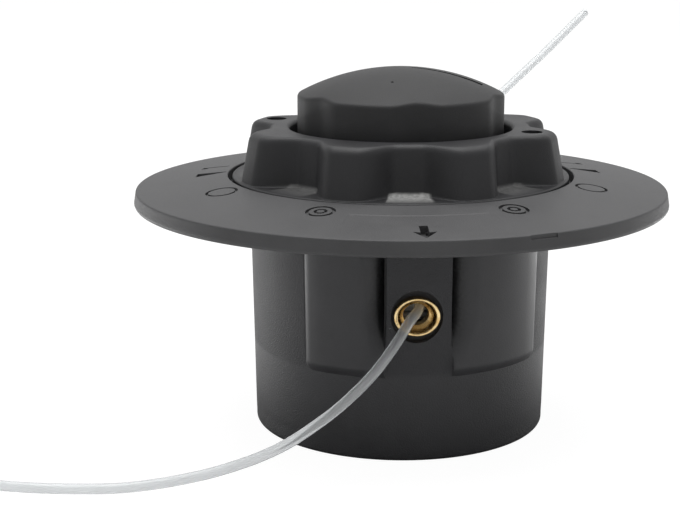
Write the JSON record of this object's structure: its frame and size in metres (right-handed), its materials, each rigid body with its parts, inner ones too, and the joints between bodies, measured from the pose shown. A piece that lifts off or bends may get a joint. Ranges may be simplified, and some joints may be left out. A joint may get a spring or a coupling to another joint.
{
  "type": "trimmer head",
  "caption": "Tap-feed line head for a grass trimmer: cup housing, wide skid disc, lobed locking collar and domed tap knob, with nylon line through brass eyelets.",
  "frame": {"origin": "centre of the flat drive-end face, on the head's axis, at the surface that it stands on", "axes": "+Z along the axis from the drive end to the tap knob, -Y through the front eyelet"},
  "size_m": [0.1404, 0.1472, 0.0783],
  "materials": {
    "black_nylon": "semi-matt moulded glass-filled nylon",
    "spool_nylon": "moulded nylon",
    "brass": "turned and polished",
    "zinc_steel": "zinc plated",
    "clear_line": "milky translucent nylon"
  },
  "bodies": {
    "housing": {"housing": "black_nylon", "drive_nut": "zinc_steel", "front_eyelet": "brass", "rear_eyelet": "brass", "skid_disc": "black_nylon", "spring": "zinc_steel", "front_line": "clear_line", "rear_line": "clear_line"},
    "collar": {"collar": "black_nylon"},
    "thrust": {"thrust_washer": "zinc_steel"},
    "spool": {"spool": "spool_nylon", "lower_winding": "clear_line", "upper_winding": "clear_line", "tap_knob": "black_nylon"}
  },
  "joints": [
    {"name": "collar_turn", "type": "hinge", "parent": "housing", "child": "collar", "pos_m": [0, 0, 0.05], "axis": [0, 0, 1], "range_deg": [0, 30]},
    {"name": "tap_press", "type": "slide", "parent": "collar", "child": "thrust", "axis": [0, 0, -1], "range_m": [0, 0.006], "stiffness_N_per_m": 2000, "springref_m": -0.006, "deforming": ["spring"]},
    {"name": "spool_turn", "type": "hinge", "parent": "thrust", "child": "spool", "pos_m": [0, 0, 0.05], "axis": [0, 0, 1], "continuous": true}
  ]
}
